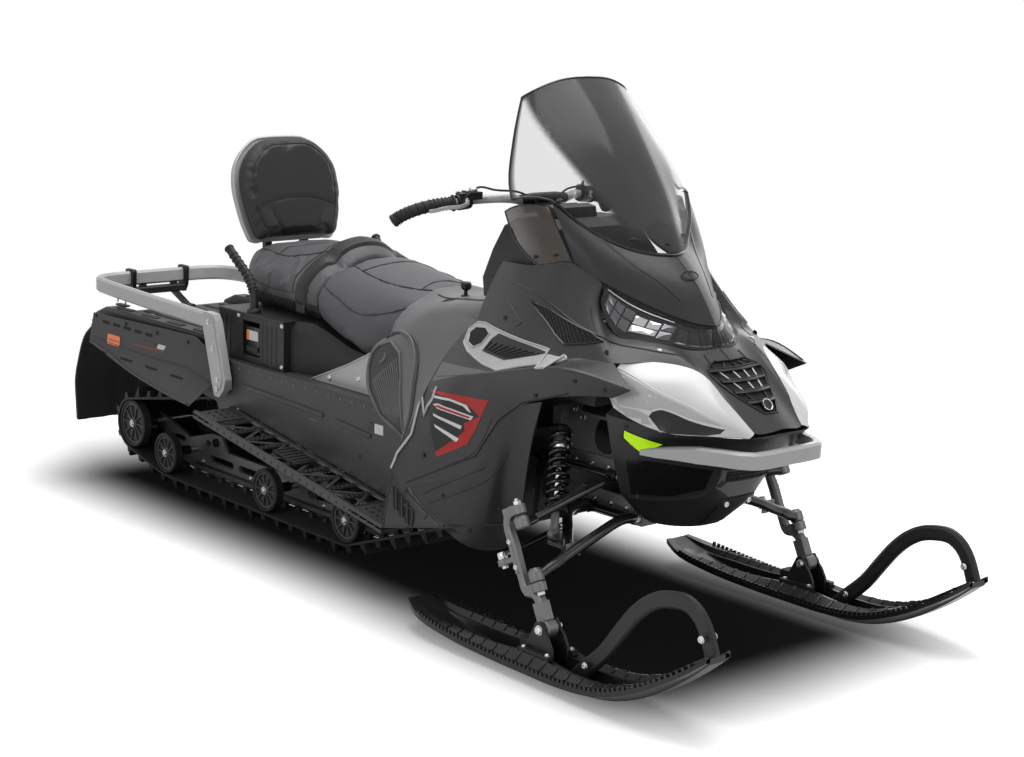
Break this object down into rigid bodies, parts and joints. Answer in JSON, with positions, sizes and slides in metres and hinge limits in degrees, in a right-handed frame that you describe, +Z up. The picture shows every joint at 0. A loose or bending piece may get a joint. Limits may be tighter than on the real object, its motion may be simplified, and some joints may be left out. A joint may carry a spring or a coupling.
{
  "type": "two-up utility snowmobile",
  "caption": "Wide-track two-seat utility snowmobile with steered skis, backrest, cargo rack and tall windshield; skis steer with the handlebar and rock on their pins.",
  "frame": {"origin": "on the ground under the middle of the machine", "axes": "+X forward, +Y to the rider's left, +Z up"},
  "size_m": [3.2302, 1.118, 1.4067],
  "materials": {
    "tunnel_coat": "satin dark grey powder coat",
    "skirt_plastic": "satin dark grey moulded plastic",
    "panel_plastic": "satin charcoal moulded plastic",
    "black_plastic": "grained black plastic",
    "silver_plastic": "light silver plastic",
    "bumper_silver": "silver grey coat",
    "bare_aluminium": "brushed",
    "black_steel": "gloss black coat",
    "forged_grey": "cast grey",
    "black_rubber": "moulded rubber",
    "wheel_plastic": "dark grey plastic",
    "seat_vinyl": "grained grey vinyl",
    "backrest_vinyl": "grained charcoal vinyl",
    "grey_plastic": "grained mid grey plastic",
    "tinted_screen": "clear dark tint",
    "smoked_screen": "smoked brown",
    "lamp_glass": "clear",
    "red_lens": "translucent red"
  },
  "bodies": {
    "chassis": {"tunnel": "tunnel_coat", "running_boards": "tunnel_coat", "rear_side_panels": "skirt_plastic", "snow_flap": "black_rubber", "cargo_deck": "black_plastic", "rear_rack": "bare_aluminium", "taillight": "red_lens", "tow_hitch": "tunnel_coat", "seat_box": "black_plastic", "driver_seat": "seat_vinyl", "passenger_seat": "seat_vinyl", "backrest": "backrest_vinyl", "backrest_shell": "grey_plastic", "grab_handles": "black_plastic", "tank_console": "grey_plastic", "tank_brackets": "bumper_silver", "knee_pads": "seat_vinyl", "dash": "black_plastic", "side_panel_right": "panel_plastic", "side_panel_left": "panel_plastic", "lower_panels": "skirt_plastic", "toe_guards": "skirt_plastic", "hood": "panel_plastic", "fenders": "silver_plastic", "grille": "black_plastic", "headlights": "lamp_glass", "windshield_cowl": "skirt_plastic", "windshield": "tinted_screen", "wind_deflectors": "smoked_screen", "front_bumper": "bumper_silver", "belly_pan": "skirt_plastic", "front_frame": "black_steel", "engine": "forged_grey", "front_arms": "black_steel", "front_shocks": "black_steel", "slide_rails": "bare_aluminium", "track_wheels": "wheel_plastic", "rear_suspension": "black_steel", "track": "black_rubber"},
    "handlebar": {"handlebar": "forged_grey", "grips": "black_rubber", "hand_controls": "black_plastic"},
    "spindle_right": {"spindle_right": "forged_grey"},
    "tie_rod_right": {"tie_rod_right": "forged_grey"},
    "ski_right": {"ski_right": "black_plastic", "ski_loop_right": "black_plastic"},
    "spindle_left": {"spindle_left": "forged_grey"},
    "tie_rod_left": {"tie_rod_left": "forged_grey"},
    "ski_left": {"ski_left": "black_plastic", "ski_loop_left": "black_plastic"}
  },
  "joints": [
    {"name": "steering", "type": "hinge", "parent": "chassis", "child": "handlebar", "pos_m": [0.446, 0, 1.052], "axis": [-0.454, 0, 0.891], "range_deg": [-37, 37]},
    {"name": "kingpin_right", "type": "hinge", "parent": "chassis", "child": "spindle_right", "pos_m": [1.00361, -0.475, 0.23301], "axis": [-0.4321, 0, 0.9018], "range_deg": [-30, 30]},
    {"name": "tie_rod_end_right", "type": "hinge", "parent": "spindle_right", "child": "tie_rod_right", "pos_m": [0.882, -0.475, 0.24], "axis": [-0.4321, 0, 0.9018], "range_deg": [-30, 30]},
    {"name": "ski_pivot_right", "type": "hinge", "parent": "spindle_right", "child": "ski_right", "pos_m": [1.052, -0.475, 0.118], "axis": [0, 1, 0], "range_deg": [-15, 10], "stiffness_Nm_per_rad": 60},
    {"name": "kingpin_left", "type": "hinge", "parent": "chassis", "child": "spindle_left", "pos_m": [1.00361, 0.475, 0.23301], "axis": [-0.4321, 0, 0.9018], "range_deg": [-30, 30]},
    {"name": "tie_rod_end_left", "type": "hinge", "parent": "spindle_left", "child": "tie_rod_left", "pos_m": [0.882, 0.475, 0.24], "axis": [-0.4321, 0, 0.9018], "range_deg": [-30, 30]},
    {"name": "ski_pivot_left", "type": "hinge", "parent": "spindle_left", "child": "ski_left", "pos_m": [1.052, 0.475, 0.118], "axis": [0, 1, 0], "range_deg": [-15, 10], "stiffness_Nm_per_rad": 60}
  ],
  "couplings": [
    {"joint": "kingpin_right", "follows": "steering", "ratio": 0.8},
    {"joint": "tie_rod_end_right", "follows": "steering", "ratio": -0.8},
    {"joint": "kingpin_left", "follows": "steering", "ratio": 0.8},
    {"joint": "tie_rod_end_left", "follows": "steering", "ratio": -0.8}
  ]
}
